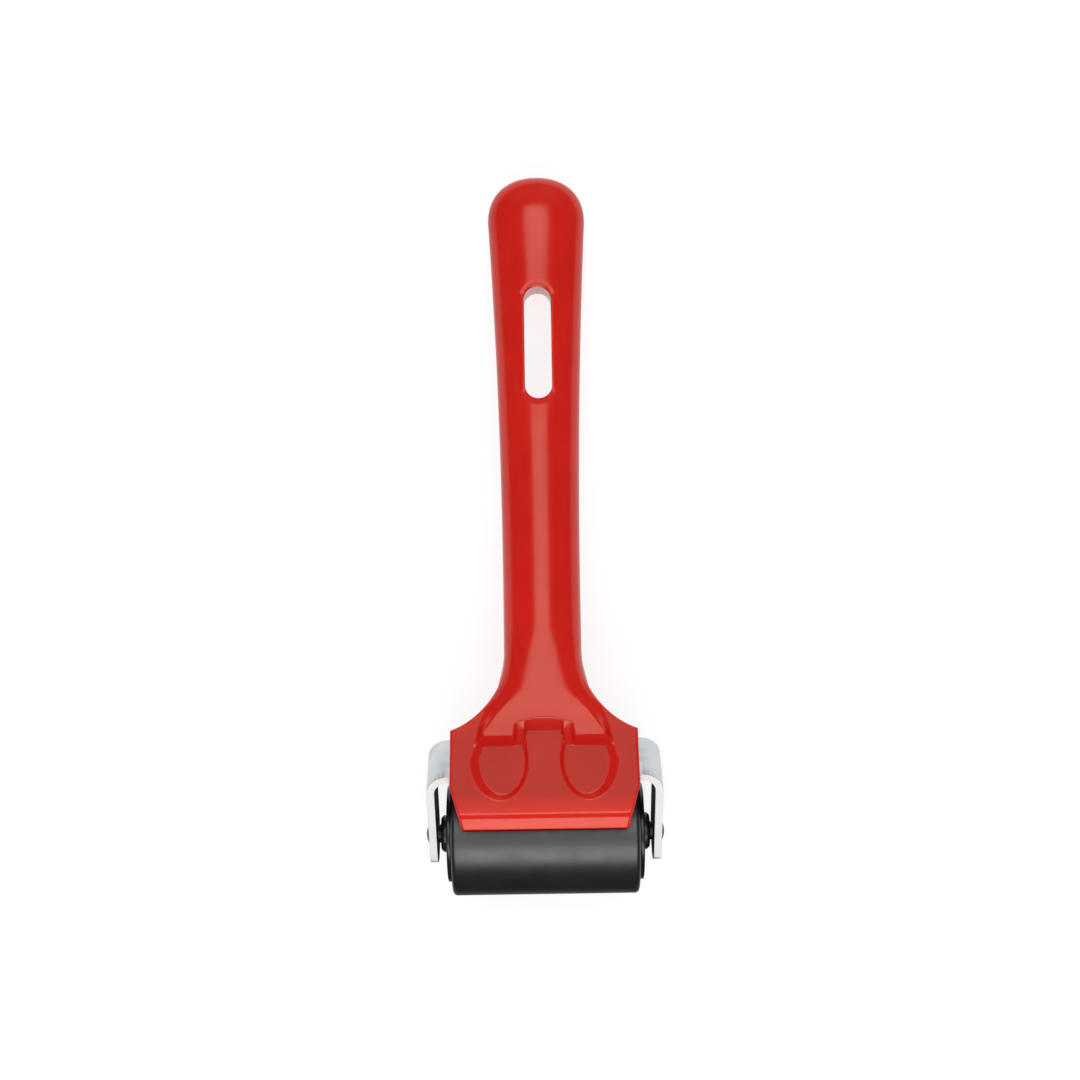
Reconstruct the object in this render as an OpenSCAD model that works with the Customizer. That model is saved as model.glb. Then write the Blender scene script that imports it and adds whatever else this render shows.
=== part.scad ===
// Rubber brayer: a 50 mm hand roller for spreading ink or pressing paper, with a moulded handle.
//
// The tool lies on its roller and on the underside of the butt of its handle.
// +Y runs from the roller to the butt, +Z is up and +X is across, along the axle.
// The origin is the centre of the tool's outline, on the surface that it lies on.

/* [Overall] */
// Length from the front of the roller to the tip of the butt
overall_l = 189; // [185:0.5:200]

/* [Roller] */
// Outside diameter of the rubber
rubber_d = 32; // [31:0.5:33]
// Length of the rubber sleeve
rubber_l = 48.4; // [44:0.2:48.4]
// Rounding of the rubber's two end edges
rubber_edge_r = 1.2; // [0.4:0.1:2]
// Outside diameter of the core tube under the rubber
core_d = 22; // [20:0.5:24]
// Wall thickness of the core tube
core_wall = 2.5; // [2:0.1:3]
// Diameter of the end cap flanges
cap_d = 25; // [24.5:0.5:28]
// Thickness of the end cap flanges
cap_t = 1.2; // [1:0.1:1.4]
// How far each end cap plugs into the core tube
plug_l = 8; // [5:0.5:12]

/* [Bushes and axle] */
// Diameter of the axle pin
axle_d = 4.8; // [4:0.1:5]
// Running clearance between the axle and its bushes, on the radius
axle_fit = 0.05; // [0.02:0.01:0.1]
// Outside diameter of each bush inside its end cap
bush_d = 7.6; // [7:0.1:8.4]
// Diameter of the bush collars between the caps and the bracket
collar_d = 9.6; // [9:0.1:11]
// Length of the bush collars
collar_l = 1.8; // [1.5:0.1:2.2]
// Diameter of the domed axle heads
head_d = 6.2; // [5.8:0.1:8.5]
// Height of the domed axle heads
head_h = 1.1; // [0.8:0.05:1.8]

/* [Bracket] */
// Width of the steel strap
strap_w = 14.8; // [13:0.1:15.5]
// Thickness of the steel strap
strap_t = 2; // [1.5:0.1:2.2]
// Distance between the inner faces of the two arms
arm_gap = 56; // [55.6:0.1:58]
// Outer radius of the strap's two bends
bend_r = 5.4; // [4:0.1:7]
// Distance from the axle to the outer face of the bridge
reach = 25.3; // [24.8:0.1:26]
// Slope of the arms above the table
arm_slope = 33; // [30:0.5:35]

/* [Handle] */
// Half the width of the grip at its waist, behind the head
waist_hw = 9.85; // [9:0.05:11]
// Half the width of the grip at the belly of its butt
belly_hw = 12.9; // [11.5:0.05:14]
// Thickness of the grip, top to underside
grip_t = 15.6; // [14:0.1:17]
// Height of the underside at the waist
waist_z = 23.6; // [23:0.1:25]
// Half the width of the head at its two rear corners
corner_hw = 23.4; // [22.8:0.1:23.6]
// Half the width of the head at its two side corners
side_hw = 23.9; // [23.2:0.1:24]
// Half the width of the front lip
lip_hw = 20.8; // [19:0.1:22]
// Height of the head's flat top face above the table
head_top = 39.6; // [39.2:0.1:40]
// Height of the raised crown that the grip sends over the head, at its front
crown_top = 42.4; // [41.4:0.1:43]
// Depth of the two thumb recesses in the head
recess_depth = 1; // [0.4:0.1:1.5]
// Width of the hanging slot
slot_w = 7.1; // [6:0.1:8]
// Length of the hanging slot
slot_l = 29.6; // [24:0.1:34]

/* [Frame screws] */
// Distance between the two screws
screw_pitch = 22; // [18:0.5:24]
// Diameter of the screw threads
screw_d = 3.5; // [3:0.1:4]
// Length of the screws under their heads
screw_l = 12; // [9:0.5:12]

/* [Hidden] */
$fn = 96;

eps = 0.01;
red = "crimson";
steel = "silver";
dark_steel = "dimgray";
black = "#1b1b1b";

// The axle is one roller radius above the table and behind the front of the tool.
axle_z = rubber_d / 2;
axle_y = axle_z - overall_l / 2;
butt_y = overall_l / 2;

// Places along the handle, measured from the axle line.
lip_y = 3.9;
lip_top_y = 7.4;
recess_y = 21.5;       // widest line of the thumb recesses
foot_end_y = 25.4;     // front of the crown's two feet, at the recess floor
foot_top_y = 27.9;     // front of their tops
side_y = 15.3;
arch_end_y = 29.1;     // front of the arch between the feet, at the head's face
corner_y = 29.3;
arch_top_y = 32.6;     // middle of the arch's upper edge
flare_y = 48.5;
split_y = 56;          // where the crown starts to rise from the grip
waist_y = 58;
slot_y = 128;
foot_y = 158;
dome_y = 160;
belly_y = 162;
tip_y = butt_y - axle_y;

// Shape of the handle's curves.
flare_reach = 20.3;    // length of the ellipse that the concave flare belongs to
drop_power = 1.2;      // how quickly the underside drops behind the head
dome_power = 2.2;      // squareness of the rounded butt in plan
head_power = 12;       // squareness of the head's sections
crown_power = 7;       // squareness of the crown's sections
foot_dip = 0.5;        // how far the butt would reach below the table before its foot is cut flat
lip_drop = 0.7;        // height of the slanted front of the lip
lip_edge = 2.6;        // height of the lip's front edge
block_y = 26;          // rear end of the seat for the bracket
block_z = 23;          // height of the head's underside there
crown_slope = -0.12;   // slope of the crown at its front
arch_hw = 6.9;         // half the width of the arch
arch_rise = 1.3;       // how much the arch's upper edge curves
foot_hw = 15.9;        // half the width over the crown's two feet
recess_x = 11.3;       // middle of each thumb recess
recess_hw = 7.4;       // half its width
recess_l = 10.1;       // from its widest line to its front
recess_n = 48;         // points round each recess
ring_n = 64;           // points round each section

// Under the hood: its ceiling rises from the lip to the top of the bracket's seat.
ceiling_z = 36.35;
ceiling_y = (reach - (ceiling_z - axle_z) * sin(arm_slope)) / cos(arm_slope);
seat_below = 14;       // how far the seat runs below the middle of the bridge
wide = 80;             // wider than the whole tool

// Screws and their holes.
pilot_extra = 1;
strap_hole_d = screw_d + 0.4;
screw_head_d = 6.6;
screw_head_h = 2.4;
cross_w = 1.1;
cross_l = 4.2;
cross_depth = 1.4;

collar_chamfer = 0.7;
arm_face = arm_gap / 2 + strap_t;
roller_face = rubber_l / 2;
plug_d = core_d - 2 * core_wall;
// Radius of the sphere that a domed axle head is a slice of.
dome_r = (head_d * head_d / 4 + head_h * head_h) / (2 * head_h);

// ---------- helpers ----------

function mix(a, b, t) = a + (b - a) * t;
function between(y, y0, y1) = max(0, min(1, (y - y0) / (y1 - y0)));
function smooth(t) = t * t * (3 - 2 * t);
// A cubic from (y0, a) to (y1, b) that leaves and arrives at the given slopes.
function blend(y, y0, y1, a, b, slope0, slope1) =
    let (t = between(y, y0, y1), l = y1 - y0)
    mix(a, b, smooth(t)) + l * slope0 * t * pow(1 - t, 2) - l * slope1 * t * t * (1 - t);

// Puts children made about the Z axis on the axle line, with +Z towards +X.
module on_axle() {
    translate([0, axle_y, axle_z]) rotate([0, 90, 0]) children();
}

// Puts children into the bracket's own frame: X across, Y from the axle up the arms,
// Z across the strap's width, towards the top of the tool.
module in_bracket() {
    translate([0, axle_y, axle_z]) rotate([arm_slope, 0, 0]) children();
}

// A tube along Z from z0 to z1.
module tube(d_out, d_in, z0, z1) {
    translate([0, 0, z0]) difference() {
        cylinder(d = d_out, h = z1 - z0);
        translate([0, 0, -1]) cylinder(d = d_in, h = z1 - z0 + 2);
    }
}

// A slot outline with round ends, along Y.
module slot_outline(w, l) {
    for (end = [-1, 1]) translate([0, end * (l - w) / 2]) circle(d = w);
    square([w, l - w], center = true);
}

// ---------- handle ----------
// Every function of y takes the distance from the axle line.

// Half width in plan: lip, slanted corners, sides, concave flare, grip and round butt.
function flare_hw(y) =
    let (t = (flare_y - y) / flare_reach, t1 = (flare_y - corner_y) / flare_reach)
    waist_hw + (corner_hw - waist_hw) * (1 - sqrt(1 - t * t)) / (1 - sqrt(1 - t1 * t1));
function dome(y) =
    let (t = between(y, dome_y, tip_y)) pow(max(0, 1 - pow(t, dome_power)), 1 / dome_power);
function grip_hw(y) =
    waist_hw + (belly_hw - waist_hw) * pow(max(0, y - waist_y) / (belly_y - waist_y), 2);
function half_width(y) =
    y < side_y ? mix(lip_hw, side_hw, between(y, lip_y, side_y)) :
    y < corner_y ? mix(side_hw, corner_hw, between(y, side_y, corner_y)) :
    y < flare_y ? flare_hw(y) : grip_hw(y) * dome(y);

// Height of the middle of the underside and of the top. The grip drops towards the butt.
function grip_z(y) =
    (waist_z + foot_dip) * pow(max(0, foot_y - y) / (foot_y - flare_y), drop_power) - foot_dip;
function grip_slope(y) =
    -drop_power * (grip_z(y) + foot_dip) / (foot_y - y);
function bottom_z(y) =
    y < flare_y ? blend(y, block_y, flare_y, block_z, waist_z, 0, grip_slope(flare_y)) : grip_z(y);
function top_z(y) =
    y < lip_top_y ? mix(head_top - lip_drop, head_top, between(y, lip_y, lip_top_y)) :
    y < waist_y ? blend(y, corner_y, waist_y, head_top, grip_z(waist_y) + grip_t, 0, grip_slope(waist_y)) :
    grip_z(y) + grip_t;

// The crown: the top of the grip runs on over the head, spreads out and ends in two feet
// with an arch between them.
function crown_z(y) =
    blend(y, foot_top_y, waist_y, crown_top, grip_z(waist_y) + grip_t, crown_slope, grip_slope(waist_y));
function crown_hw(y) = mix(foot_hw, waist_hw, pow(between(y, foot_end_y, split_y), 0.55));
function foot_fade(y) = between(y, foot_end_y, foot_top_y);
function arch_fade(x, y) =
    let (top = arch_top_y - arch_rise * pow(x / arch_hw, 2)) between(y, arch_end_y, top);
function crown_fade(x, y) = mix(arch_fade(x, y), foot_fade(y), between(abs(x), arch_hw - 1, arch_hw + 1));
function crown_section(x, y) =
    let (n = 1 / mix(1 / crown_power, 1 / 2, between(y, corner_y, split_y)), u = abs(x) / crown_hw(y))
    u < 1 ? pow(1 - pow(u, n), 1 / n) : 0;
function crowned(x, y, z) =
    let (base = (top_z(y) + bottom_z(y)) / 2, rise = base + (crown_z(y) - base) * crown_section(x, y) - z)
    y < split_y && rise > 0 ? z + rise * crown_fade(x, y) : z;

// The sections are elliptical along the grip and nearly square at the head.
function squareness(y) = 1 / mix(1 / head_power, 1 / 2, pow(between(y, corner_y, flare_y), 0.7));

// The section at y, as points round a ring; the butt's rings shrink towards its middle height.
function ring(y) =
    let (hw = half_width(y), n = squareness(y), mid = (top_z(y) + bottom_z(y)) / 2,
         hh = (top_z(y) - bottom_z(y)) / 2 * dome(y))
    [for (i = [0:ring_n - 1])
        let (a = 360 * i / ring_n, c = cos(a), s = sin(a),
             r = pow(pow(abs(c), n) + pow(abs(s), n), -1 / n), x = hw * r * c, z = mid + hh * r * s)
        [x, axle_y + y, s > 0.01 ? crowned(x, y, z) : z]];

// Where the rings are: at each corner of the outline, closer where it curves more.
head_rings = [lip_y, lip_top_y, side_y, foot_end_y, foot_top_y, corner_y];
flare_rings = [for (y = [30.8, 32.6, 34.4]) y, for (i = [1:6]) mix(34.4, flare_y, i / 6)];
grip_rings = [for (i = [1:10]) mix(flare_y, dome_y, i / 10)];
butt_rings = [for (i = [1:7]) mix(dome_y, tip_y, sin(90 * i / 7.2))];
rings = concat(head_rings, flare_rings, grip_rings, butt_rings);

module handle_blank() {
    last = len(rings) - 1;
    tip_point = [0, butt_y, (top_z(tip_y) + bottom_z(tip_y)) / 2];
    points = concat([for (y = rings) each ring(y)], [tip_point]);
    tip = len(points) - 1;
    sides = [for (r = [0:last - 1], i = [0:ring_n - 1]) let (j = (i + 1) % ring_n)
        [r * ring_n + i, r * ring_n + j, (r + 1) * ring_n + j, (r + 1) * ring_n + i]];
    front = [[for (i = [ring_n - 1:-1:0]) i]];
    butt = [for (i = [0:ring_n - 1]) [last * ring_n + i, last * ring_n + (i + 1) % ring_n, tip]];
    polyhedron(points = points, faces = concat(sides, front, butt), convexity = 6);
}

// The space under the hood, in front of the seat that the bracket is screwed to.
module under_hood() {
    seat_foot = [reach * cos(arm_slope) + seat_below * sin(arm_slope),
                 axle_z + reach * sin(arm_slope) - seat_below * cos(arm_slope)];
    lip_foot = [lip_y, head_top - lip_drop - lip_edge];
    front = -axle_z;
    profile = [lip_foot, [ceiling_y, ceiling_z], seat_foot, [front, seat_foot[1]], [front, lip_foot[1]]];
    translate([-wide / 2, axle_y, 0]) rotate([90, 0, 90]) linear_extrude(height = wide) polygon(profile);
}

// One thumb recess, at +X: half an ellipse towards the lip, open towards the crown's foot.
module thumb_recess() {
    half = [for (i = [0:recess_n / 2]) let (a = 180 * i / (recess_n / 2))
        [recess_hw * cos(a), -recess_l * sin(a)]];
    behind = foot_end_y - recess_y;
    translate([recess_x, axle_y + recess_y, head_top - recess_depth]) linear_extrude(height = wide)
        polygon(concat(half, [[-recess_hw + 0.6, behind], [recess_hw - 1.6, behind]]));
}

module handle() {
    color(red) difference() {
        handle_blank();
        under_hood();
        // The butt's foot is flat where it lies on the table.
        translate([-wide / 2, 0, -10]) cube([wide, overall_l, 10]);
        for (side = [0, 1]) mirror([side, 0, 0]) thumb_recess();
        // Hanging slot.
        translate([0, axle_y + slot_y, -1]) linear_extrude(height = head_top) slot_outline(slot_w, slot_l);
        // Pilot holes for the frame screws.
        in_bracket() for (side = [-1, 1])
            translate([side * screw_pitch / 2, reach - eps, 0]) rotate([-90, 0, 0])
                cylinder(d = screw_d, h = screw_l - strap_t + pilot_extra);
    }
}

// ---------- bracket ----------

// A rectangle from below the axle line up to y1, with its two upper corners rounded.
module rounded_u(half_w, y1, r) {
    translate([-half_w, -strap_w]) square([2 * half_w, strap_w + y1 - r]);
    translate([-half_w + r, 0]) square([2 * (half_w - r), y1]);
    for (side = [-1, 1]) translate([side * (half_w - r), y1 - r]) circle(r = r);
}

module frame() {
    color(steel) in_bracket() difference() {
        intersection() {
            translate([0, 0, -strap_w / 2]) linear_extrude(height = strap_w) difference() {
                rounded_u(arm_face, reach, bend_r);
                rounded_u(arm_gap / 2, reach - strap_t, bend_r - strap_t);
            }
            // The arms end in half circles about the axle.
            translate([-wide / 2, 0, 0]) rotate([90, 0, 90]) linear_extrude(height = wide) {
                circle(d = strap_w);
                translate([0, -strap_w / 2]) square([reach + 1, strap_w]);
            }
        }
        translate([-wide / 2, 0, 0]) rotate([0, 90, 0]) cylinder(d = axle_d, h = wide);
        for (side = [-1, 1])
            translate([side * screw_pitch / 2, reach - strap_t - 1, 0]) rotate([-90, 0, 0])
                cylinder(d = strap_hole_d, h = strap_t + 2);
    }
}

// Pan head screws that hold the bracket's bridge against its seat.
module frame_screws() {
    color(steel) in_bracket() for (side = [-1, 1])
        translate([side * screw_pitch / 2, reach - strap_t, 0]) rotate([-90, 0, 0]) {
            cylinder(d = screw_d, h = screw_l);
            difference() {
                translate([0, 0, -screw_head_h]) cylinder(d = screw_head_d, h = screw_head_h);
                for (turn = [0, 90]) rotate([0, 0, turn])
                    translate([-cross_l / 2, -cross_w / 2, -screw_head_h - 1])
                        cube([cross_l, cross_w, cross_depth + 1]);
            }
        }
}

// ---------- axle ----------

// One pin through both arms, closed over at each end into a dome.
module axle() {
    color(dark_steel) on_axle() {
        translate([0, 0, -arm_face - eps]) cylinder(d = axle_d, h = 2 * arm_face + 2 * eps);
        for (side = [0, 1]) mirror([0, 0, side]) intersection() {
            translate([0, 0, arm_face + head_h - dome_r]) sphere(r = dome_r);
            translate([0, 0, arm_face]) cylinder(d = head_d + 1, h = head_h + 1);
        }
    }
}

// ---------- roller ----------

module rubber_sleeve() {
    r = rubber_d / 2;
    edge = rubber_edge_r;
    wall = r - core_d / 2;
    color(black) on_axle() rotate_extrude() {
        translate([core_d / 2, -roller_face]) square([wall - edge, rubber_l]);
        translate([core_d / 2, -roller_face + edge]) square([wall, rubber_l - 2 * edge]);
        for (side = [-1, 1]) translate([r - edge, side * (roller_face - edge)]) circle(r = edge);
    }
}

module core_tube() {
    color("burlywood") on_axle() tube(core_d, plug_d, -roller_face, roller_face);
}

// The cap at +X: a flange over the end of the roller and a plug inside the core tube.
module end_cap() {
    color(black) on_axle() {
        tube(cap_d, bush_d, roller_face, roller_face + cap_t);
        tube(plug_d, bush_d, roller_face - plug_l, roller_face + eps);
    }
}

module end_cap_right() {
    end_cap();
}

module end_cap_left() {
    mirror([1, 0, 0]) end_cap();
}

// The bush at +X: its body is pressed into the cap and its collar spaces the roller from the arm.
module bush() {
    inner_r = axle_d / 2 + axle_fit;
    cap_face = roller_face + cap_t;
    collar_face = cap_face + collar_l;
    color("#2b2b2b") on_axle() rotate_extrude() polygon([
        [inner_r, roller_face - plug_l],
        [bush_d / 2, roller_face - plug_l],
        [bush_d / 2, cap_face],
        [collar_d / 2, cap_face],
        [collar_d / 2, collar_face - collar_chamfer],
        [collar_d / 2 - collar_chamfer, collar_face],
        [inner_r, collar_face]
    ]);
}

module bush_right() {
    bush();
}

module bush_left() {
    mirror([1, 0, 0]) bush();
}

handle();
frame();
frame_screws();
axle();
rubber_sleeve();
core_tube();
end_cap_left();
end_cap_right();
bush_left();
bush_right();
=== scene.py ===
"""The looks of a rubber brayer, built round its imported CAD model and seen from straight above.

The handle is replaced by a finer moulding of the same size. The other pieces are the CAD nodes themselves,
with their edges eased and their own materials. Lengths in the shape functions are in millimetres.
"""

import math

import bpy
import numpy as np
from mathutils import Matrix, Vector


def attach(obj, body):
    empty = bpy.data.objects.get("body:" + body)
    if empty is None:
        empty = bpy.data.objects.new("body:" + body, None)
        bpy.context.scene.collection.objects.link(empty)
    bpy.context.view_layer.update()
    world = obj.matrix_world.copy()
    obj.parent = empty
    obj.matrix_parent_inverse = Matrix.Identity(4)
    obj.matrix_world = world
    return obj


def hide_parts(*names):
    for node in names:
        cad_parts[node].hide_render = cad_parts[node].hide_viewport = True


MM = 0.001

# Places along the handle, in millimetres. Y runs from the roller to the butt, and in the handle's functions
# it is measured from the axle line.
OVERALL_L = 189.0
AXLE_Z = 16.0
AXLE_Y = AXLE_Z - OVERALL_L / 2
SIDE_Y = 15.3
CORNER_Y = 29.3
SHOULDER_Y = 38.0
FLARE_Y = 48.5
WAIST_Y = 58.0
SLOT_Y = 128.0
FOOT_Y = 158.0
DOME_Y = 160.0
BELLY_Y = 162.0
TIP_Y = OVERALL_L / 2 - AXLE_Y
BOX_END_Y = 32.5        # the sections are rounded boxes up to here
OVAL_Y = 47.0           # and ellipses from here on

# Its outline from above: half widths, and how far the flare's arc reaches along Y.
LIP_HW = 20.8
SIDE_HW = 23.9
CORNER_HW = 23.4
WAIST_HW = 9.85
BELLY_HW = 12.9
FLARE_REACH = 20.3
DOME_POWER = 2.2

# Its outline from the side.
GRIP_T = 15.6
WAIST_Z = 23.6
HEAD_TOP = 39.6
DROP_POWER = 1.2
FOOT_DIP = 0.5
BLOCK_Y = 25.62
BLOCK_Z = 23.0
CEILING_Y = 17.0
CEILING_Z = 36.35

# The lip at the front of the head.
LIP_Y = 3.9
LIP_BACK_Y = 7.1
LIP_STEP_Y = 8.3
LIP_OVER_Y = 10.5
LIP_BEND = 0.016        # how fast the face rounds over before the step
LIP_STEP = 0.7
LIP_SLANT = 0.23
LIP_EASE = 0.1

# The two thumb recesses: half an ellipse in front, and straight sides that lean in behind it.
RECESS_X = 11.2
RECESS_Y = 21.8
RECESS_HW = 7.3
RECESS_L = 10.1
RECESS_LEAN_IN = 0.13
RECESS_LEAN_OUT = 0.34
RECESS_WALL_IN = 0.9    # width of the wall on the side of the tool's middle
RECESS_WALL_OUT = 2.1   # and on the outer side
RECESS_WALL_X = (-4.0, 5.0)  # the one turns into the other here, measured from RECESS_X outwards
RECESS_SAG = 0.12
RECESS_SAG_W = 7.0
RECESS_EASE = 0.1
FADE_ARCH_Y = (31.6, 32.6)  # the recesses fade out here beside the arch
FADE_FOOT_Y = (27.4, 29.4)  # and here behind the feet

# The mark that the mould's gate left on the face.
GATE_X = 0.9
GATE_Y = 11.2
GATE_HW = 1.3
GATE_L = 0.7
GATE_DEPTH = 0.07

# The crown: the grip's rounded top, which runs on over the head and ends in two feet with an arch between.
CROWN_TOP = 42.4
CROWN_SLOPE = -0.12
CROWN_HW = 16.9         # half width of its foot, at CROWN_HW_Y
CROWN_HW_Y = 28.0
CROWN_LEAN_FRONT = 0.34
CROWN_LEAN_BACK = 0.25
CROWN_SIDE_W = 1.8      # width of its sides up to CROWN_SIDE_Y, and what they gain behind it
CROWN_SIDE_GAIN = 0.6
CROWN_SIDE_Y = 29.5
CROWN_ROUND_Y = (33.0, 41.0)  # here the soft sides turn into the grip's rounded section
CROWN_ROUND = 0.31
CROWN_ROUND_GAIN = 0.19
CROWN_ROUND_POWER = 1.5
CROWN_EASE = 0.12
FOOT_END_Y = 25.2
FOOT_TOP_Y = 28.2
FOOT_X = (6.8, 7.6)     # the feet's inner sides
ARCH_END_Y = 29.1
ARCH_TOP_Y = 32.6
ARCH_RISE = 1.3
ARCH_HW = 6.9
ARCH_SIDE_X = (4.3, 5.0)  # beyond this the arch's slope starts nearly as far forward as the feet's
ARCH_SIDE_LAG = 0.2
JOIN_R = 0.5            # rounding where the crown meets the face
JOIN_SOFT_R = 1.6       # and where its sides run out
JOIN_SOFT_START = (30.5, 36.0)
JOIN_SOFT_STOP = (39.0, 45.0)
CROWN_END_Y = 56.0
CROWN_END_L = 4

# The hanging slot and its rounded rims.
SLOT_HW = 3.55
SLOT_HL = 14.8
RIM_SIDE_R = 0.4        # rounding of the rims along the slot's sides
RIM_END_R = 2.6         # and round its ends, where only the upper part of the arc is left
RIM_W = 1.7             # width of the rounding round the ends
RIM_CHANGE = (0.2, 2.8)  # how far beyond the slot's straight part the one turns into the other

# The head's edges, and its body under the rim.
EDGE_R = 0.75
NOSE_R = 0.5            # rounding of the lip's front
PLATE_T = 3.4           # thickness of the rim; below it the body stands further in
SET_BACK = 2.6          # how far the body stands in from the rim at the back
SET_IN = 0.7            # and at the sides
SET_IN_L = 3.0          # and the length over which it goes in
EDGE_SPARE = 0.2        # the wall that is left at least under a rounded edge

# The handle's mesh: columns from the middle of a section out to its side, and rows along the handle.
FLAT_N = 64             # columns from the middle to the start of the rounded edge
EDGE_N = 7
WALL_N = 10
SLOT_N = 12             # columns from the middle to the slot's wall
AROUND_N = 16           # columns from the slot's rim to where the rest begins
SLOT_WALL_N = 8
FLAT_TURN = math.radians(58)
EDGE_TURN = math.radians(68)
SHARP_ANGLE = math.radians(27)
WARP_R = 8.2            # half the size of the squares that turn the slot's ends into arcs
WARP_GAP = 0.5
NEAR_SLOT_Y = (100.0, 108.0)  # the columns gather round the slot here
NECK_Y = 36.0           # the rows are a little further apart behind this
NOSE_STEPS = (0, 0.05, 0.15, 0.3, 0.5)
RIM_STEPS = [0.03, 0.12, 0.26, 0.42, 0.8, 1.25, RIM_W]
ROWS_FACE = 44
ROWS_HOOD = 30
ROWS_SEAT = 14
ROWS_CROWN = 26
ROWS_FLARE = 34
ROWS_GRIP = 44
ROWS_RIM = 12
ROWS_SLOT = 16
ROWS_TO_DOME = 12
ROWS_DOME = 30

# Places that only the materials use.
ARM_SLOPE = 33.0        # of the strap's arms, in degrees
PAINTED_SHADE_FADE_Y = (47.0, 40.0)  # the painted shade on the level faces ends here
LIP_PAINTED_GLOW_Y = (13.5, 6.0)  # the lip's painted glow starts here and is full at the second


# ---------- small helpers ----------


def mix(a, b, t):
    return a + (b - a) * t


def between(v, v0, v1):
    return np.clip((v - v0) / (v1 - v0), 0.0, 1.0)


def smooth(t):
    return t * t * (3 - 2 * t)


def blend(y, y0, y1, a, b, slope0, slope1):
    """A cubic from (y0, a) to (y1, b) that leaves and arrives at the given slopes."""
    t = between(y, y0, y1)
    length = y1 - y0
    return mix(a, b, smooth(t)) + length * slope0 * t * (1 - t) ** 2 - length * slope1 * t * t * (1 - t)


def ramp(v, v0, v1, ease):
    """From 0 at v0 to 1 at v1: a steep foot and a rounded shoulder."""
    t = between(v, v0, v1)
    return t * (1 + ease * (1 - t))


def fillet(d, r):
    """How far a rounded edge of radius r lies below its face, at the distance d from the edge."""
    return r - np.sqrt(np.maximum(r * r - np.maximum(r - d, 0.0) ** 2, 0.0))


def soft_max(a, b, k):
    """The larger of a and b, rounded off where they are less than k apart."""
    h = np.maximum(k - np.abs(a - b), 0) / k
    return np.maximum(a, b) + h * h * k / 4


def spread(a, b, n):
    """n + 1 values from a to b."""
    return list(np.linspace(a, b, n + 1))


# ---------- the handle's shape ----------


def flare_hw(y):
    t = between(FLARE_Y - y, 0, FLARE_REACH)
    t1 = (FLARE_Y - CORNER_Y) / FLARE_REACH
    return WAIST_HW + (CORNER_HW - WAIST_HW) * (1 - np.sqrt(1 - t * t)) / (1 - math.sqrt(1 - t1 * t1))


def dome(y):
    """How far the butt's sections shrink, from 1 at DOME_Y to 0 at the tip."""
    return np.maximum(0, 1 - between(y, DOME_Y, TIP_Y) ** DOME_POWER) ** (1 / DOME_POWER)


def half_width(y):
    front = mix(LIP_HW, SIDE_HW, between(y, LIP_Y, SIDE_Y))
    side = mix(SIDE_HW, CORNER_HW, between(y, SIDE_Y, CORNER_Y))
    grip = WAIST_HW + (BELLY_HW - WAIST_HW) * (np.maximum(0, y - WAIST_Y) / (BELLY_Y - WAIST_Y)) ** 2
    out = np.where(y < SIDE_Y, front, side)
    out = np.where(y < CORNER_Y, out, flare_hw(y))
    return np.where(y < FLARE_Y, out, grip)


def grip_z(y):
    """Height of the grip's underside, which slopes down to the foot that it rests on."""
    return (WAIST_Z + FOOT_DIP) * (np.maximum(0, FOOT_Y - y) / (FOOT_Y - FLARE_Y)) ** DROP_POWER - FOOT_DIP


def grip_slope(y):
    return -DROP_POWER * (grip_z(y) + FOOT_DIP) / (FOOT_Y - y)


def bottom_z(y):
    """Height of the underside: the hood's ceiling, the seat for the bracket, then the grip's belly."""
    hood = mix(CEILING_Z, BLOCK_Z, between(y, CEILING_Y, BLOCK_Y))
    neck = blend(y, BLOCK_Y, FLARE_Y, BLOCK_Z, WAIST_Z, 0, grip_slope(FLARE_Y))
    return np.where(y < BLOCK_Y, hood, np.where(y < FLARE_Y, neck, grip_z(y)))


def shoulder_z(y):
    """Height of the head's flat face, which falls into the grip behind its corners."""
    waist_top = grip_z(WAIST_Y) + GRIP_T
    fall = blend(y, SHOULDER_Y, WAIST_Y, HEAD_TOP, waist_top, 0, grip_slope(WAIST_Y))
    return np.where(y < WAIST_Y, fall, grip_z(y) + GRIP_T)


def lip_drop(y):
    """The lip: the face rounds over, steps down and goes on as a gentler slant."""
    over = LIP_BEND * np.clip(LIP_OVER_Y - y, 0, LIP_OVER_Y - LIP_STEP_Y) ** 2
    step = LIP_STEP * (1 - ramp(y, LIP_BACK_Y, LIP_STEP_Y, LIP_EASE))
    slant = LIP_SLANT * np.maximum(0, LIP_BACK_Y - y)
    return over + step + slant


def recess_distance(x, y):
    """Distance inside the edge of a thumb recess."""
    dx = np.abs(x) - RECESS_X
    dy = np.minimum(y - RECESS_Y, 0)
    e = np.maximum(np.sqrt((dx / RECESS_HW) ** 2 + (dy / RECESS_L) ** 2), 1e-6)
    front = np.sqrt(dx * dx + dy * dy) * (1 / e - 1)
    front = np.where(e < 1e-5, RECESS_HW, front)
    up = np.maximum(y - RECESS_Y, 0)
    inner = np.abs(x) - (RECESS_X - RECESS_HW + RECESS_LEAN_IN * up)
    outer = RECESS_X + RECESS_HW - RECESS_LEAN_OUT * up - np.abs(x)
    return np.where(y < RECESS_Y, front, np.minimum(inner, outer))


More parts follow.
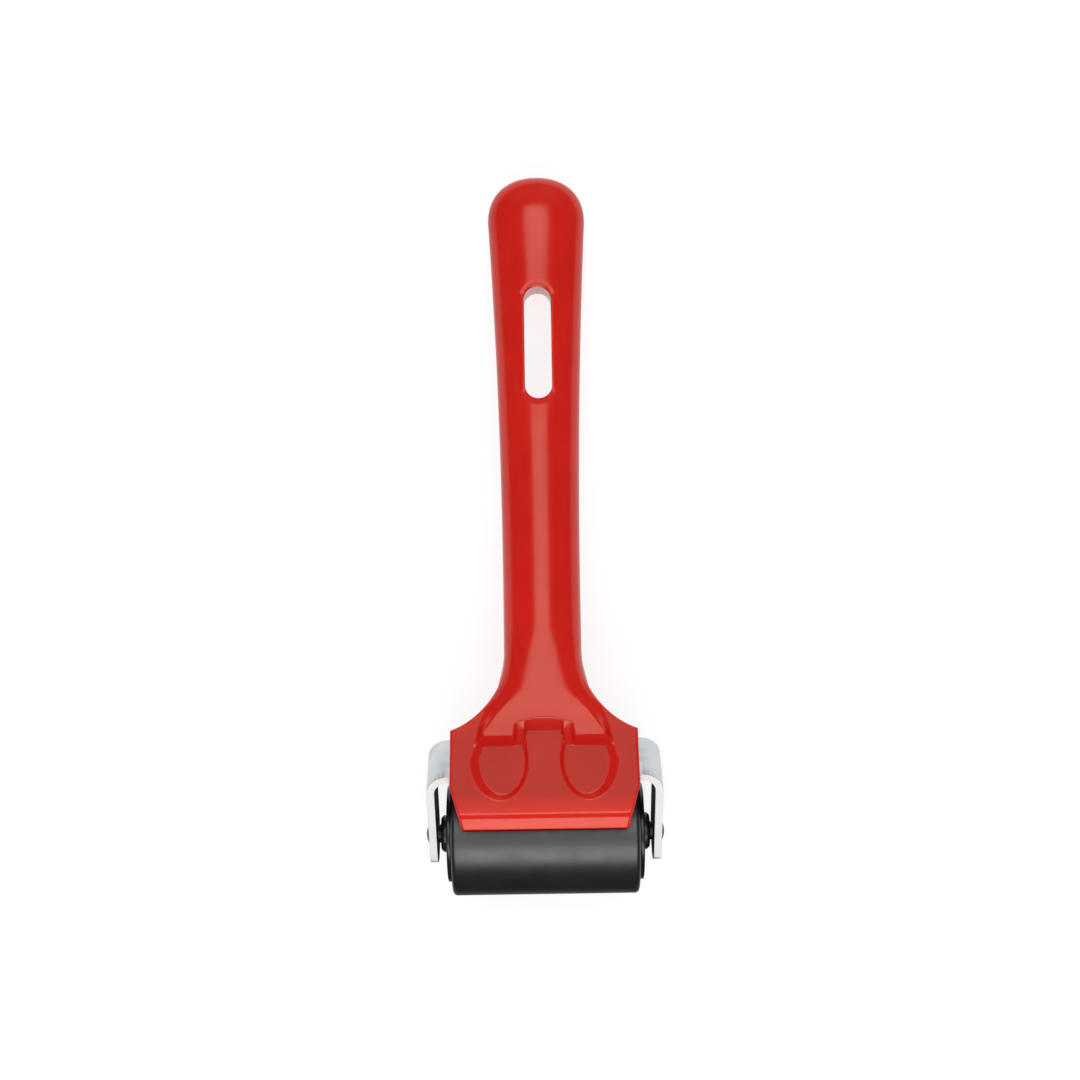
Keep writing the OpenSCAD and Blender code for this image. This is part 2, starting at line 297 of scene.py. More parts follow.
def face_z(x, y):
    """The head's face: flat, with two thumb recesses, a gate mark and the slanted lip."""
    d = recess_distance(x, y)
    outwards = smooth(between(np.abs(x) - RECESS_X, *RECESS_WALL_X))
    wall = mix(RECESS_WALL_IN, RECESS_WALL_OUT, outwards)
    sunk = ramp(d, 0, wall, RECESS_EASE) + RECESS_SAG * smooth(between(d, 0, RECESS_SAG_W))
    gate = GATE_DEPTH * np.exp(-(((x - GATE_X) / GATE_HW) ** 2 + ((y - GATE_Y) / GATE_L) ** 2))
    foot = smooth(between(np.abs(x), *FOOT_X))
    faded = between(y, mix(FADE_ARCH_Y[0], FADE_FOOT_Y[0], foot), mix(FADE_ARCH_Y[1], FADE_FOOT_Y[1], foot))
    return shoulder_z(y) - sunk * (1 - faded) - gate - lip_drop(y)


def crown_z(x, y):
    """The grip's rounded top, which runs on over the head as a flat rise with soft sides that spread out."""
    waist_top = grip_z(WAIST_Y) + GRIP_T
    top = blend(y, FOOT_TOP_Y, WAIST_Y, CROWN_TOP, waist_top, CROWN_SLOPE, grip_slope(WAIST_Y))
    lean = np.where(y < CROWN_HW_Y, CROWN_LEAN_FRONT, CROWN_LEAN_BACK)
    foot_hw = CROWN_HW + lean * (CROWN_HW_Y - y)
    side_w = CROWN_SIDE_W + CROWN_SIDE_GAIN * np.maximum(0, y - CROWN_SIDE_Y)
    rise = shoulder_z(y) + (top - shoulder_z(y)) * smooth(between(foot_hw - np.abs(x), 0, side_w))
    mid = (bottom_z(y) + shoulder_z(y)) / 2
    rounder = between(y, SHOULDER_Y, WAIST_Y) ** CROWN_ROUND_POWER
    power = 1 / (CROWN_ROUND + CROWN_ROUND_GAIN * rounder)
    u = np.minimum(np.abs(x) / half_width(y), 1.0)
    rounded = mid + (top - mid) * (1 - u**power) ** (1 / power)
    return mix(rise, rounded, smooth(between(y, *CROWN_ROUND_Y)))


def crown_share(x, y):
    """How much of the crown stands on the head: all of it behind the arch and the two feet, none in front."""
    ax = np.abs(x)
    arch_top = ARCH_TOP_Y - ARCH_RISE * (x / ARCH_HW) ** 2
    arch_end = mix(ARCH_END_Y, FOOT_END_Y + ARCH_SIDE_LAG, smooth(between(ax, *ARCH_SIDE_X)))
    arch = ramp(y, arch_end, arch_top, CROWN_EASE)
    foot = ramp(y, FOOT_END_Y, FOOT_TOP_Y, CROWN_EASE)
    return mix(arch, foot, smooth(between(ax, *FOOT_X)))


def squareness(y):
    """1 where the section is a rounded box, 0 where it is an ellipse."""
    return 1 - smooth(between(y, BOX_END_Y, OVAL_Y))


def body_hw(y):
    """Half width of the head's body, under its rim."""
    narrow = np.minimum(half_width(y), half_width(y + SET_BACK)) - SET_IN
    return mix(half_width(y), narrow, between(y, CEILING_Y, CEILING_Y + SET_IN_L))


def rounded_slot(x, y):
    """Turns the square ends of the slot's grid into arcs, and fades the change out around them."""
    centre = SLOT_HL - SLOT_HW
    dy = y - SLOT_Y
    beyond = np.maximum(np.abs(dy) - centre, 0) * np.sign(dy)
    m = np.maximum(np.abs(x), np.abs(beyond))
    across = np.abs(x) >= np.abs(beyond)
    big = np.maximum(m, 1e-9)
    turn = np.where(across, np.abs(beyond), np.abs(x)) / big * math.pi / 4
    cx = np.where(across, np.cos(turn), np.sin(turn)) * m * np.sign(x)
    cy = np.where(across, np.sin(turn), np.cos(turn)) * m * np.sign(beyond)
    w = 1 - smooth(between(m, SLOT_HW + RIM_W, WARP_R))
    near = np.abs(beyond) > 0
    return np.where(near, mix(x, cx, w), x), np.where(near, y + (cy - beyond) * w, y)


def rim_drop(x, y):
    """The rounding of the slot's rims, wider round its ends than along its sides."""
    beyond = np.maximum(np.abs(y - SLOT_Y) - (SLOT_HL - SLOT_HW), 0)
    d = np.maximum(np.sqrt(x * x + beyond * beyond) - SLOT_HW, 0)
    wide = np.maximum(fillet(d + RIM_END_R - RIM_W, RIM_END_R), 0)
    return mix(fillet(d, RIM_SIDE_R), wide, smooth(between(beyond, *RIM_CHANGE)))


# ---------- the handle's mesh ----------


def slot_columns(last):
    """Columns from the middle out to last: the slot's wall, its rim, and the rest."""
    inner = spread(0, SLOT_HW, SLOT_N)
    rim = [SLOT_HW + s for s in RIM_STEPS]
    outer = spread(rim[-1], WARP_R, AROUND_N)[1:]
    rest = FLAT_N - len(inner) - len(rim) - len(outer) + 1
    return np.array(inner + rim + outer + spread(WARP_R, last, rest)[1:])


def handle_rows():
    """Where the handle's sections are, closest together where its shape changes most."""
    front = [LIP_Y + s for s in NOSE_STEPS]
    head = spread(front[-1], CEILING_Y, ROWS_FACE) + spread(CEILING_Y, BLOCK_Y, ROWS_HOOD)[1:]
    head += spread(BLOCK_Y, CORNER_Y, ROWS_SEAT)[1:] + spread(CORNER_Y, NECK_Y, ROWS_CROWN)[1:]
    head += spread(NECK_Y, FLARE_Y, ROWS_FLARE)[1:]
    centre = SLOT_HL - SLOT_HW
    grip = spread(FLARE_Y, SLOT_Y - centre - WARP_R, ROWS_GRIP)[1:]
    end = [centre + v for v in spread(0, SLOT_HW, SLOT_N)[1:]]
    end += [SLOT_HL + s for s in RIM_STEPS]
    end += spread(SLOT_HL + RIM_STEPS[-1], centre + WARP_R, ROWS_RIM)[1:]
    slot = [SLOT_Y - v for v in reversed(end)] + [SLOT_Y + v for v in spread(-centre, centre, ROWS_SLOT)]
    slot += [SLOT_Y + v for v in end]
    grip = grip[:-1] + slot + spread(slot[-1], DOME_Y, ROWS_TO_DOME)[1:]
    turns = np.linspace(0, math.pi / 2, ROWS_DOME)[1:-1]
    butt = [mix(DOME_Y, TIP_Y, math.sin(a)) for a in turns]
    return np.array(front + head[1:] + grip + butt)


def ring_half(y0, up):
    """Half of the section at y0, at +X, from its middle out to the line half way up.

    up is 1 for the top half and -1 for the underside.
    """
    box = float(squareness(y0))
    scale = float(dome(y0))
    top, low = float(shoulder_z(y0)), float(bottom_z(y0))
    mid = (top + low) / 2
    rim = float(half_width(y0))
    body = mix(rim, float(body_hw(y0)), box)
    nose = fillet(y0 - LIP_Y, NOSE_R)
    hw = (rim if up > 0 else body) - nose
    edge_r = min(EDGE_R, (top - low) / 2 - EDGE_SPARE)
    # The flat part of the box, and the part of the ellipse that has turned by less than FLAT_TURN.
    flat_last = mix(hw * math.sin(FLAT_TURN), hw - edge_r, box)
    x = np.linspace(0, flat_last, FLAT_N + 1)
    near_slot = float(smooth(between(y0, *NEAR_SLOT_Y)))
    if near_slot > 0:
        x = mix(x, slot_columns(max(flat_last, WARP_R + WARP_GAP)), near_slot)
    y = np.full(FLAT_N + 1, y0)
    if near_slot == 1:
        x, y = rounded_slot(x, y)
    x = x * scale
    level = top if up > 0 else low
    u = np.minimum(np.abs(x) / (half_width(y) * dome(y)), 1)
    tall = (shoulder_z(y) - bottom_z(y)) / 2 * dome(y)
    ellipse = (shoulder_z(y) + bottom_z(y)) / 2 + up * tall * np.sqrt(1 - u * u)
    flat = mix(ellipse, face_z(x, y) if up > 0 else np.full(FLAT_N + 1, level), box)
    # The rounded edge and the wall below it.
    edge_turn = np.linspace(0, math.pi / 2, EDGE_N + 1)[1:]
    wall_t = np.linspace(0, 1, WALL_N + 1)[1:]
    turn = np.concatenate([
        np.linspace(FLAT_TURN, EDGE_TURN, EDGE_N + 1)[1:],
        np.linspace(EDGE_TURN, math.pi / 2, WALL_N + 1)[1:],
    ])
    drop = float(lip_drop(y0)) * box if up > 0 else 0.0
    wall_depth = abs(level - mid) - edge_r
    inward = between(wall_t * wall_depth, 0, PLATE_T) * (hw + nose - body)
    box_x = np.concatenate([hw - edge_r + edge_r * np.sin(edge_turn), hw - inward])
    edge_z = level - up * edge_r * (1 - np.cos(edge_turn)) - drop
    wall_z = mix(level - up * edge_r - drop, mid, wall_t)
    side_x = mix(hw * np.sin(turn), box_x, box) * scale
    side_z = mix(mid + up * abs(level - mid) * scale * np.cos(turn), np.concatenate([edge_z, wall_z]), box)
    x = np.concatenate([x, side_x])
    y = np.concatenate([y, np.full(EDGE_N + WALL_N, y0)])
    z = np.concatenate([flat, side_z])
    if up > 0 and y0 < CROWN_END_Y:
        soft = smooth(between(y0, *JOIN_SOFT_START)) * (1 - smooth(between(y0, *JOIN_SOFT_STOP)))
        raised = soft_max(z, crown_z(x, y), mix(JOIN_R, JOIN_SOFT_R, float(soft)))
        left = 1 - smooth(between(y0, CROWN_END_Y - CROWN_END_L, CROWN_END_Y))
        z = mix(z, raised, crown_share(x, y) * left)
    if near_slot == 1:
        z = z - up * rim_drop(x, y)
    return np.stack([x, y, np.maximum(z - up * nose, 0.0)], 1)


def handle_rings(rows):
    """The sections' points, each round its ring: the top from -X to +X, then the bottom back to -X."""
    flip = np.array([-1, 1, 1])
    rings = []
    for y0 in rows:
        top = ring_half(y0, 1)
        low = ring_half(y0, -1)
        rings.append(np.concatenate([top[::-1] * flip, top[1:], low[::-1][1:], (low * flip)[1:-1]]))
    return rings


def handle_mesh():
    rows = handle_rows()
    rings = handle_rings(rows)
    ring_len = len(rings[0])
    verts = np.concatenate(rings)
    verts[:, 1] += AXLE_Y
    tip_z = float((shoulder_z(TIP_Y) + bottom_z(TIP_Y)) / 2)
    verts = np.concatenate([verts, [[0, TIP_Y + AXLE_Y, max(tip_z, 0.0)]]])
    tip = len(verts) - 1
    top_mid = FLAT_N + EDGE_N + WALL_N
    low_mid = 3 * top_mid
    top_hole = set(range(top_mid - SLOT_N, top_mid + SLOT_N))
    low_hole = set(range(low_mid - SLOT_N, low_mid + SLOT_N))
    row_of = {round(float(v), 6): i for i, v in enumerate(rows)}
    first = row_of[round(SLOT_Y - SLOT_HL, 6)]
    last = row_of[round(SLOT_Y + SLOT_HL, 6)]
    faces = []
    for r in range(len(rows) - 1):
        for i in range(ring_len):
            if first <= r < last and (i in top_hole or i in low_hole):
                continue
            j = (i + 1) % ring_len
            faces.append((r * ring_len + i, (r + 1) * ring_len + i, (r + 1) * ring_len + j, r * ring_len + j))
    faces.append(tuple(range(ring_len)))
    base = (len(rows) - 1) * ring_len
    faces += [(base + i, tip, base + (i + 1) % ring_len) for i in range(ring_len)]
    # The slot's wall, between the matching edges of the two holes.
    loop = [(r, -SLOT_N) for r in range(first, last)] + [(last, c) for c in range(-SLOT_N, SLOT_N)]
    loop += [(r, SLOT_N) for r in range(last, first, -1)] + [(first, c) for c in range(SLOT_N, -SLOT_N, -1)]
    verts = list(map(tuple, verts))
    grid = []
    for r, c in loop:
        top_at = r * ring_len + top_mid + c
        low_at = r * ring_len + low_mid - c
        line = [top_at]
        for s in range(1, SLOT_WALL_N):
            verts.append(tuple(mix(np.array(verts[top_at]), np.array(verts[low_at]), s / SLOT_WALL_N)))
            line.append(len(verts) - 1)
        grid.append(line + [low_at])
    for k, here in enumerate(grid):
        there = grid[(k + 1) % len(grid)]
        for s in range(SLOT_WALL_N):
            faces.append((here[s], here[s + 1], there[s + 1], there[s]))
    mesh = bpy.data.meshes.new("handle_moulding")
    mesh.from_pydata([tuple(c * MM for c in v) for v in verts], [], faces)
    mesh.validate()
    mesh.update()
    return mesh


def make_handle():
    mesh = handle_mesh()
    mesh.polygons.foreach_set("use_smooth", [True] * len(mesh.polygons))
    mesh.set_sharp_from_angle(angle=SHARP_ANGLE)
    mesh.materials.append(red_plastic())
    handle = bpy.data.objects.new("handle_moulding", mesh)
    bpy.context.scene.collection.objects.link(handle)
    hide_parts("handle")
    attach(handle, "handle_and_frame")


# ---------- materials ----------

# Where a Mix node has its sockets, for colours and for plain numbers: factor, the two inputs, the output.
COLOUR_SOCKETS = (0, 6, 7, 2)
NUMBER_SOCKETS = (0, 2, 3, 0)
NOISE_MIDDLE = (0.35, 0.65)  # most of a noise's values lie in here
NOISE_RANGE = (0.3, 0.7)


class Shader:
    """A principled material and the few nodes that its detail needs."""

    def __init__(self, name, **values):
        self.material = bpy.data.materials.new(name)
        self.material.use_nodes = True
        self.tree = self.material.node_tree
        self.out = self.tree.nodes["Principled BSDF"]
        for socket, value in values.items():
            self.out.inputs[socket.replace("_", " ")].default_value = value

    def node(self, kind, **values):
        """A new node. Each value goes to the node's setting or its input socket of that name."""
        made = self.tree.nodes.new(kind)
        for key, value in values.items():
            if hasattr(made, key):
                setattr(made, key, value)
            else:
                made.inputs[key.replace("_", " ")].default_value = value
        return made

    def link(self, a, b):
        self.tree.links.new(a, b)

    def feed(self, value, socket):
        """Links an output to socket, or sets the socket to a colour or a number."""
        if isinstance(value, bpy.types.NodeSocket):
            self.link(value, socket)
        elif isinstance(value, tuple):
            socket.default_value = (*value, 1)
        else:
            socket.default_value = value

    def into(self, value, name):
        self.link(value, self.out.inputs[name])

    def place(self, scale=(1, 1, 1)):
        """The object's own coordinates, in metres, stretched by scale."""
        coordinates = self.node("ShaderNodeTexCoord")
        mapping = self.node("ShaderNodeMapping", Scale=scale)
        self.link(coordinates.outputs["Object"], mapping.inputs["Vector"])
        return mapping.outputs["Vector"]

    def noise(self, scale, detail, stretch=(1, 1, 1)):
        made = self.node("ShaderNodeTexNoise", Scale=scale, Detail=detail)
        self.link(self.place(stretch), made.inputs["Vector"])
        return made.outputs["Fac"]

    def remap(self, value, a, b, c, d):
        """Turns a..b into c..d, and stops at its ends."""
        made = self.node("ShaderNodeMapRange")
        for socket, number in zip(("From Min", "From Max", "To Min", "To Max"), (a, b, c, d)):
            made.inputs[socket].default_value = number
        self.link(value, made.inputs["Value"])
        return made.outputs["Result"]

    def mixed(self, factor, a, b, sockets, **settings):
        made = self.node("ShaderNodeMix", **settings)
        for value, socket in zip((factor, a, b), sockets):
            self.feed(value, made.inputs[socket])
        return made.outputs[sockets[3]]

    def colours(self, factor, a, b, blend_type="MIX"):
        return self.mixed(factor, a, b, COLOUR_SOCKETS, data_type="RGBA", blend_type=blend_type)

    def numbers(self, factor, a, b):
        return self.mixed(factor, a, b, NUMBER_SOCKETS)

    def mottled(self, value, low, high):
        """A colour that wanders between low and high with a noise."""
        return self.colours(self.remap(value, *NOISE_MIDDLE, 0, 1), low, high)

    def dot(self, value, axis):
        made = self.node("ShaderNodeVectorMath", operation="DOT_PRODUCT")
        made.inputs[1].default_value = axis
        self.link(value, made.inputs[0])
        return made.outputs["Value"]

    def normal(self):
        return self.node("ShaderNodeNewGeometry").outputs["Normal"]

    def facing(self, axis, low, high):
        """From 0 to 1 as the cosine between the surface's normal and axis goes from low to high."""
        return self.remap(self.dot(self.normal(), axis), low, high, 0, 1)

    def lengthwise(self, start, end):
        """From 0 at start to 1 at end, both in millimetres along the handle from the axle line."""
        return self.remap(self.dot(self.place(), (0, 1, 0)), (AXLE_Y + start) * MM, (AXLE_Y + end) * MM, 0, 1)

    def outward(self):
        """The place's X times the normal's X: positive on faces that look away from the tool's middle."""
        apart = self.node("ShaderNodeVectorMath", operation="MULTIPLY")
        self.link(self.normal(), apart.inputs[0])
        self.link(self.place((1, 0, 0)), apart.inputs[1])
        return self.dot(apart.outputs["Vector"], (1, 0, 0))

    def combined(self, a, b, operation):
        made = self.node("ShaderNodeMath", operation=operation)
        self.link(a, made.inputs[0])
        self.link(b, made.inputs[1])
        return made.outputs["Value"]

    def times(self, a, b):
        return self.combined(a, b, "MULTIPLY")

    def roughness(self, value, low, high):
        self.into(self.remap(value, *NOISE_RANGE, low, high), "Roughness")

    def bump(self, *layers):
        """layers are (height output, distance in metres, strength); each is laid over the one before."""
        last = None
        for height, distance, strength in layers:
            made = self.node("ShaderNodeBump", Strength=strength, Distance=distance)
            self.link(height, made.inputs["Height"])
            if last:
                self.link(last, made.inputs["Normal"])
            last = made.outputs["Normal"]
        self.into(last, "Normal")


def red_plastic():
    s = Shader(
        "red_plastic",
        Specular_IOR_Level=0.5,
        Specular_Tint=(1.0, 0.93, 0.74, 1),
        Subsurface_Weight=0.12,
        Subsurface_Radius=(1.0, 0.06, 0.03),
        Subsurface_Scale=0.0016,
    )
    body = s.mottled(s.noise(60, 3), (0.59, 0.0105, 0.006), (0.64, 0.0125, 0.0075))
    # Painted shade: where the head's level faces look straight up, their colour is painted a little darker.
    head = s.lengthwise(*PAINTED_SHADE_FADE_Y)
    level = s.times(s.facing((0, 0, 1), 0.990, 0.999), head)
    face = s.colours(level, body, (0.80, 0.95, 0.95), "MULTIPLY")
    # A painted glow: the thin lip lets light through, and its colour is painted brighter towards its front to
    # stand in for that light.
    s.into(s.colours(s.lengthwise(*LIP_PAINTED_GLOW_Y), face, (0.84, 0.015, 0.009)), "Base Color")
    s.roughness(s.noise(140, 4), 0.17, 0.25)
    orange_peel = s.noise(420, 2)
    grain = s.noise(2600, 3)
    s.bump((orange_peel, 0.0001, 0.05), (grain, 0.00002, 0.08))
    return s.material


def zinc_steel():
    s = Shader("zinc_steel", Metallic=1.0)
    patches = s.noise(90, 3)
    body = s.mottled(patches, (0.72, 0.78, 0.80), (0.82, 0.86, 0.87))
    # The strap's two sheared edges are rougher and less metallic than its faces, and their colour is a
    # painted highlight, near white.
    slope = math.radians(ARM_SLOPE)
    shear_axis = (0, -math.sin(slope), math.cos(slope))
    sheared = s.facing(shear_axis, 0.75, 0.92)
    painted_edge_highlight = s.colours(sheared, body, (0.98, 0.98, 0.95))
    # Painted shade: the arms' inner faces and a crescent beside the sheared edge at the bends are painted
    # near black, and the inner faces are also rough and not metallic.
    outward = s.outward()
    inner = s.remap(outward, -0.006, -0.016, 0, 1)
    shade_band_beside_edge = s.times(s.facing(shear_axis, 0.12, 0.35), s.facing(shear_axis, 0.85, 0.60))
    on_bend = s.times(s.facing((0, 0, 1), 0.35, 0.65), s.remap(outward, 0.002, 0.006, 0, 1))
    dark = s.combined(inner, s.times(shade_band_beside_edge, on_bend), "MAXIMUM")
    s.into(s.colours(dark, painted_edge_highlight, (0.02, 0.022, 0.018)), "Base Color")
    s.into(s.times(s.remap(sheared, 0, 1, 1.0, 0.1), s.remap(inner, 0, 1, 1, 0)), "Metallic")
    grain = s.noise(900, 3, (0.12, 1, 1))
    rough = s.numbers(sheared, s.remap(grain, *NOISE_RANGE, 0.30, 0.44), 0.62)
    s.into(s.numbers(inner, rough, 0.9), "Roughness")
    s.bump((grain, 0.00003, 0.25), (patches, 0.0002, 0.05))
    return s.material


def dark_steel():
    s = Shader("dark_steel", Metallic=1.0)
    patches = s.noise(700, 3)
    s.into(s.mottled(patches, (0.035, 0.035, 0.032), (0.07, 0.068, 0.062)), "Base Color")
    s.roughness(patches, 0.28, 0.45)
    s.bump((patches, 0.00004, 0.3))
    return s.material


def screw_steel():
    s = Shader("screw_steel", Metallic=1.0)
    patches = s.noise(900, 3)
    s.into(s.mottled(patches, (0.55, 0.56, 0.55), (0.70, 0.70, 0.67)), "Base Color")
    s.roughness(patches, 0.25, 0.42)
    s.bump((patches, 0.00004, 0.3))
    return s.material


def black_rubber():
    s = Shader("black_rubber", Specular_IOR_Level=1.0)
    s.into(s.mottled(s.noise(55, 4), (0.0055, 0.0058, 0.0045), (0.0085, 0.0088, 0.0072)), "Base Color")
    # Ground rubber has a fine grain, here drawn out along the roller.
    ground = s.noise(1500, 3, (0.25, 1, 1))
    s.roughness(s.noise(240, 4), 0.33, 0.41)
    s.bump((ground, 0.00003, 0.22), (s.noise(5200, 2), 0.00001, 0.25))
    return s.material


def black_plastic():
    s = Shader("black_plastic", Specular_IOR_Level=0.5)
    s.into(s.mottled(s.noise(300, 3), (0.006, 0.006, 0.006), (0.011, 0.011, 0.010)), "Base Color")
    s.roughness(s.noise(500, 3), 0.16, 0.27)
    s.bump((s.noise(1800, 2), 0.00002, 0.12))
    return s.material


def core_plastic():
    s = Shader("core_plastic", Specular_IOR_Level=0.5)
    s.into(s.mottled(s.noise(200, 3), (0.10, 0.10, 0.10), (0.14, 0.14, 0.135)), "Base Color")
    s.roughness(s.noise(500, 3), 0.35, 0.5)
    s.bump((s.noise(1500, 2), 0.00003, 0.2))
    return s.material


def bush_plastic():
    s = Shader("bush_plastic", Specular_IOR_Level=0.5)
    s.into(s.mottled(s.noise(400, 3), (0.012, 0.012, 0.012), (0.020, 0.020, 0.018)), "Base Color")
    s.roughness(s.noise(700, 3), 0.28, 0.4)
    s.bump((s.noise(2200, 2), 0.00002, 0.15))
    return s.material


def floor_paper():
    s = Shader("floor_paper", Specular_IOR_Level=0.2, Emission_Color=(1, 1, 1, 1), Emission_Strength=0.78)
    s.into(s.colours(s.noise(9, 2), (0.29, 0.29, 0.29), (0.31, 0.31, 0.31)), "Base Color")
    s.roughness(s.noise(40, 3), 0.75, 0.9)
    s.bump((s.noise(900, 4), 0.0001, 0.03))
    return s.material


def wall_paper():
    s = Shader("wall_paper", Specular_IOR_Level=0.0, Emission_Color=(1, 1, 1, 1), Emission_Strength=0.93)
    s.into(s.colours(s.noise(0.3, 2), (0.02, 0.02, 0.02), (0.03, 0.03, 0.03)), "Base Color")
    s.roughness(s.noise(2, 2), 0.8, 0.9)
    return s.material


# ---------- the CAD nodes ----------

# Each node with its material and the width that its edges are eased by, in millimetres.
FINISHES = (
    ("frame", zinc_steel, 0.3),
    ("frame_screws", screw_steel, 0.1),
    ("axle", dark_steel, 0.0),
    ("rubber_sleeve", black_rubber, 0.0),
    ("core_tube", core_plastic, 0.0),
    ("end_cap_left", black_plastic, 0.25),
    ("end_cap_right", black_plastic, 0.25),
    ("bush_left", bush_plastic, 0.12),
    ("bush_right", bush_plastic, 0.12),
)
WELD_GAP = 0.000002
SAME_PLANE = math.radians(0.4)
EASED_EDGE = math.radians(40)


def finish_node(node, make, bevel_mm):
    """A CAD node keeps its mesh, and gets its material and, if bevel_mm isn't 0, eased edges."""
    node.data.materials.clear()
    node.data.materials.append(make())
    if bevel_mm:
        weld = node.modifiers.new("weld", "WELD")
        weld.merge_threshold = WELD_GAP
        # Triangles in one plane are merged, because the easing leaves marks along their edges.
        flats = node.modifiers.new("flats", "DECIMATE")
        flats.decimate_type = "DISSOLVE"
        flats.angle_limit = SAME_PLANE
        ease = node.modifiers.new("ease", "BEVEL")
        ease.width = bevel_mm * MM
        ease.segments = 3
        ease.limit_method = "ANGLE"
        ease.angle_limit = EASED_EDGE
        ease.harden_normals = True


def finish_nodes(nodes):
    for name, make, bevel_mm in FINISHES:
        finish_node(nodes[name], make, bevel_mm)


# ---------- floor, light and camera ----------

# All in metres.
FLOOR_R = 30.0
WALL_R = 6.0
WALL_H = 6.0
WALL_SIDES = 48
WALL_SINK = 0.01

# The softboxes show in the tool's gloss: name, place, size and brightness.
SOFTBOXES = (
    ("softbox_back", (0, 0.345, 1.0), (0.62, 0.63), 2.5),
    ("softbox_front", (0, -0.81, 1.0), (0.8, 0.74), 3.35),
    ("softbox_top", (0, -0.205, 1.0), (0.7, 0.47), 0.9),
)
# The fills don't, and face the tool's middle: name, place and brightness.
FILLS = (
    ("fill_back", (0, 1.35, 0.62), 1.8),
    ("fill_front", (0, -1.35, 0.75), 0.9),
    ("fill_left", (-1.35, 0, 0.75), 0.4),
    ("fill_right", (1.35, 0, 0.75), 0.4),
)
FILL_SIZE = (2.0, 1.0)
FILL_TARGET = (0, 0, 0.03)

STUDIO_DARK = 0.09      # the studio above the horizon
FLOOR_PALE = 0.85       # what the gloss sees below it
FLOOR_DARK = 0.05       # and there, before the tool
FLOOR_TURN_Y = (-0.75, -0.15)  # the Y of the directions between which the one turns into the other

CAMERA_PLACE = (-0.00025, -0.002, 0.5)
CAMERA_TURN = math.radians(-0.89)
CAMERA_LENS = 61.57
CAMERA_SENSOR = 36.0
CAMERA_NEAR = 0.01


def make_floor():
    r = FLOOR_R
    mesh = bpy.data.meshes.new("floor")
    mesh.from_pydata([(-r, -r, 0), (r, -r, 0), (r, r, 0), (-r, r, 0)], [], [(0, 1, 2, 3)])
    mesh.materials.append(floor_paper())
    floor = bpy.data.objects.new("floor", mesh)
    bpy.context.scene.collection.objects.link(floor)
    floor.visible_glossy = False


def make_backdrop():
    """A pale wall far off, which only the camera sees."""
    verts = []
    for i in range(WALL_SIDES):
        turn = 2 * math.pi * i / WALL_SIDES
        x, y = WALL_R * math.cos(turn), WALL_R * math.sin(turn)
        verts += [(x, y, -WALL_SINK), (x, y, WALL_H)]
    ring = len(verts)
    faces = [(i, (i + 2) % ring, (i + 3) % ring, i + 1) for i in range(0, ring, 2)]
    mesh = bpy.data.meshes.new("backdrop")
    mesh.from_pydata(verts, [], faces)
    mesh.materials.append(wall_paper())
    backdrop = bpy.data.objects.new("backdrop", mesh)
    bpy.context.scene.collection.objects.link(backdrop)
    for kind in ("diffuse", "glossy", "transmission", "volume_scatter", "shadow"):
        setattr(backdrop, "visible_" + kind, False)


def softbox(name, place, size, radiance, target=None, glossy=True):
    """A soft light of the given size and brightness. It hangs level, or faces target."""
    light = bpy.data.lights.new(name, "AREA")
    light.shape = "RECTANGLE"
    light.size, light.size_y = size
    light.energy = math.pi * radiance * size[0] * size[1]
    lamp = bpy.data.objects.new(name, light)
    lamp.location = place
    if target:
        lamp.rotation_euler = (Vector(target) - Vector(place)).to_track_quat("-Z", "Y").to_euler()
    lamp.visible_camera = False
    lamp.visible_glossy = glossy
    bpy.context.scene.collection.objects.link(lamp)


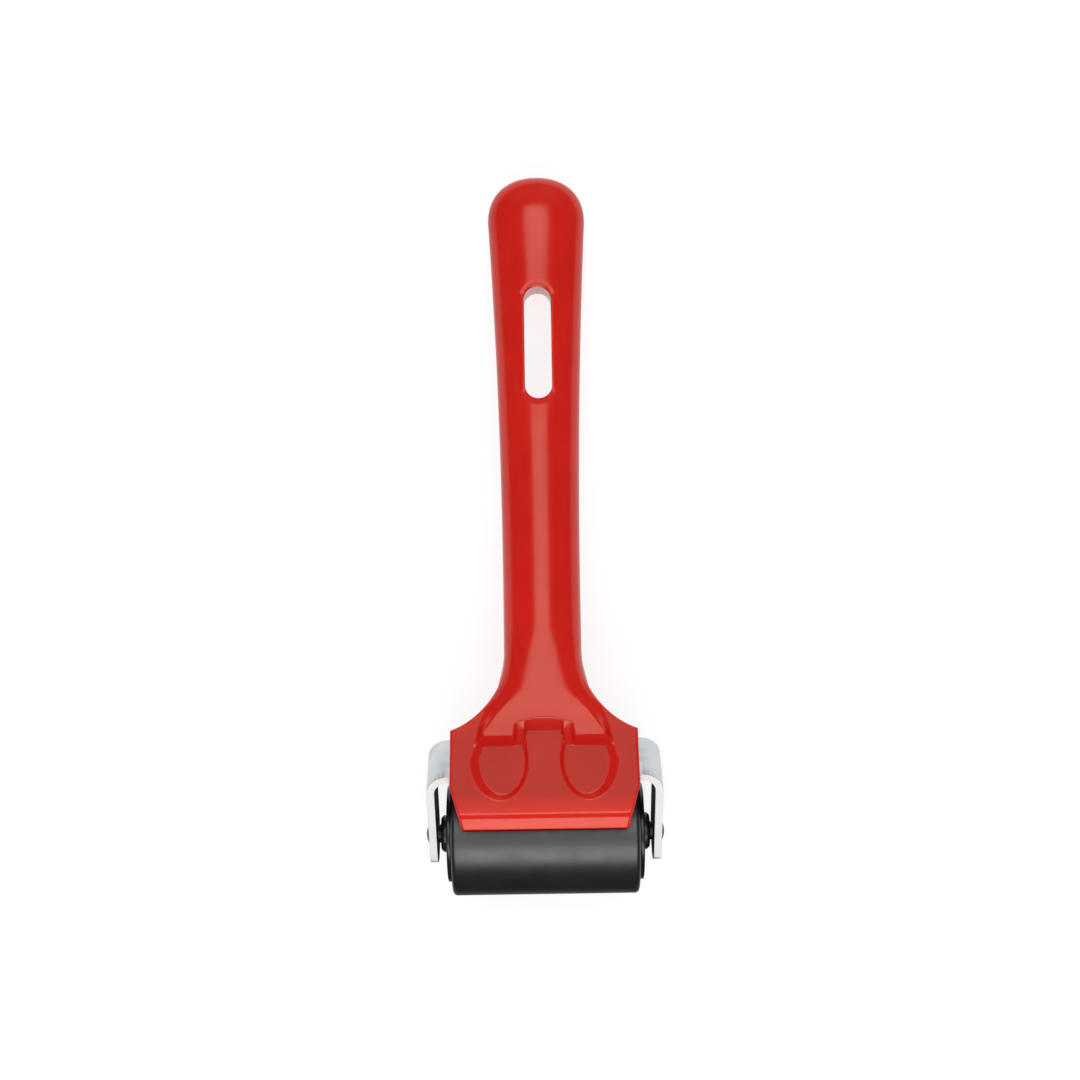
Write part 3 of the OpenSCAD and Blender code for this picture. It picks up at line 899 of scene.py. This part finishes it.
def make_world():
    """Above the horizon the studio is dark. Below it everything is pale but the floor before the tool."""
    world = bpy.data.worlds.new("studio")
    bpy.context.scene.world = world
    world.use_nodes = True
    nodes = world.node_tree.nodes
    links = world.node_tree.links
    back = nodes["Background"]
    place = nodes.new("ShaderNodeTexCoord")
    split = nodes.new("ShaderNodeSeparateXYZ")
    pale = nodes.new("ShaderNodeMapRange")
    span = (*FLOOR_TURN_Y, FLOOR_DARK, FLOOR_PALE)
    for socket, number in zip(("From Min", "From Max", "To Min", "To Max"), span):
        pale.inputs[socket].default_value = number
    below = nodes.new("ShaderNodeMath")
    below.operation = "LESS_THAN"
    below.inputs[1].default_value = 0.0
    pick = nodes.new("ShaderNodeMix")
    factor, above_horizon, below_horizon, picked = NUMBER_SOCKETS
    pick.inputs[above_horizon].default_value = STUDIO_DARK
    links.new(place.outputs["Generated"], split.inputs["Vector"])
    links.new(split.outputs["Y"], pale.inputs["Value"])
    links.new(split.outputs["Z"], below.inputs[0])
    links.new(below.outputs[0], pick.inputs[factor])
    links.new(pale.outputs["Result"], pick.inputs[below_horizon])
    links.new(pick.outputs[picked], back.inputs["Color"])


def make_lights():
    for name, place, size, radiance in SOFTBOXES:
        softbox(name, place, size, radiance)
    for name, place, radiance in FILLS:
        softbox(name, place, FILL_SIZE, radiance, FILL_TARGET, glossy=False)
    make_world()


def make_camera():
    camera_data = bpy.data.cameras.new("camera")
    camera_data.sensor_width = CAMERA_SENSOR
    camera_data.lens = CAMERA_LENS
    camera_data.clip_start = CAMERA_NEAR
    camera = bpy.data.objects.new("camera", camera_data)
    camera.location = CAMERA_PLACE
    camera.rotation_euler = (0, 0, CAMERA_TURN)
    bpy.context.scene.collection.objects.link(camera)
    bpy.context.scene.camera = camera


def set_tones():
    view = bpy.context.scene.view_settings
    view.view_transform = "Standard"
    view.look = "None"
    view.exposure = 0.0
    view.gamma = 1.0


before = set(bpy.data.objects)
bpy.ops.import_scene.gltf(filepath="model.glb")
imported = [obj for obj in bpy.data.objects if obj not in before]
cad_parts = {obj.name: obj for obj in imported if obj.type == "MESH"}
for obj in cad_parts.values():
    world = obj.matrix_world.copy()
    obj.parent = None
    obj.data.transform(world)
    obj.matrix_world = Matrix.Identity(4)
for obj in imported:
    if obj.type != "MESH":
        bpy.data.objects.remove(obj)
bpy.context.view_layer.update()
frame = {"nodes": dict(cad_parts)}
make_camera()
set_tones()
make_lights()
make_floor()
make_backdrop()
finish_nodes(frame["nodes"])
make_handle()
